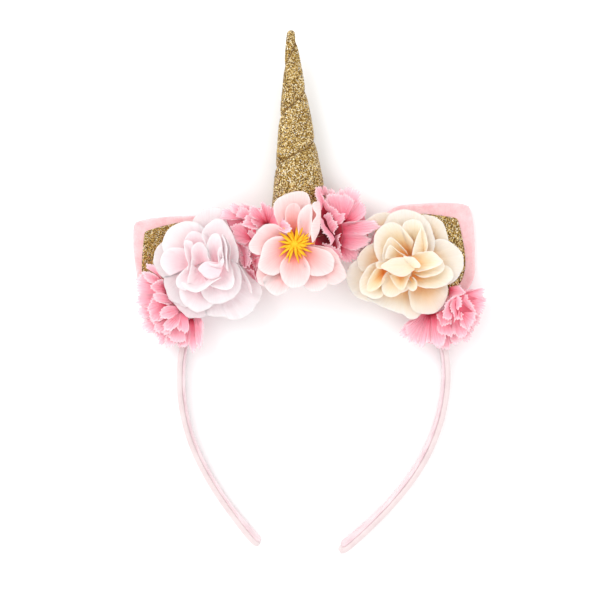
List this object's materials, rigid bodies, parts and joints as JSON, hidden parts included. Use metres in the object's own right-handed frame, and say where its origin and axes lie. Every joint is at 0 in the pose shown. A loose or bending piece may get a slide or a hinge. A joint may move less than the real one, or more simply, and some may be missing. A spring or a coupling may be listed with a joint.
{
  "type": "unicorn horn headband",
  "caption": "Open hoop headband with a glitter horn, felt ears and fabric flowers along the arch; it springs over the head from above.",
  "frame": {"origin": "the rear edge of the hoop, in the middle of the strip at the top of its arch", "axes": "+X to the right seen from the flower side, +Y from the hoop's centre through the top of its arch toward the horn, +Z toward the flower side, which faces forward when worn; the part lies on its rear edge"},
  "size_m": [0.1648, 0.2381, 0.0299],
  "materials": {
    "satin": "pale pink satin ribbon",
    "lining": "darker pink ribbon",
    "gold_glitter": "coarse gold glitter cloth",
    "felt": "pink felt",
    "white_petal": "matt white petal cloth, faintly pink",
    "cream_petal": "matt cream petal cloth, peach in the folds",
    "blossom_petal": "matt pale pink petal cloth",
    "stamen": "yellow",
    "carnation_petal": "matt pink petal cloth"
  },
  "bodies": {
    "root": {"band": "satin", "band_lining": "lining", "horn": "gold_glitter", "ear_left_felt": "felt", "ear_right_felt": "felt", "ear_left_glitter": "gold_glitter", "ear_right_glitter": "gold_glitter", "white_rose_base": "white_petal", "white_rose_petals_1": "white_petal", "white_rose_petals_2": "white_petal", "white_rose_petals_3": "white_petal", "white_rose_petals_4": "white_petal", "white_rose_petals_5": "white_petal", "white_rose_bud": "white_petal", "cream_rose_base": "cream_petal", "cream_rose_petals_1": "cream_petal", "cream_rose_petals_2": "cream_petal", "cream_rose_petals_3": "cream_petal", "cream_rose_petals_4": "cream_petal", "cream_rose_petals_5": "cream_petal", "cream_rose_bud": "cream_petal", "blossom_base": "blossom_petal", "blossom_petals_1": "blossom_petal", "blossom_petals_2": "blossom_petal", "blossom_stamens": "stamen", "carnation_upper_left_base": "carnation_petal", "carnation_upper_left_1": "carnation_petal", "carnation_upper_left_2": "carnation_petal", "carnation_lower_left_1": "carnation_petal", "carnation_lower_left_2": "carnation_petal", "carnation_upper_right_1": "carnation_petal", "carnation_upper_right_2": "carnation_petal", "carnation_lower_right_1": "carnation_petal", "carnation_lower_right_2": "carnation_petal", "carnation_middle_1": "carnation_petal", "carnation_middle_2": "carnation_petal"}
  },
  "joints": []
}
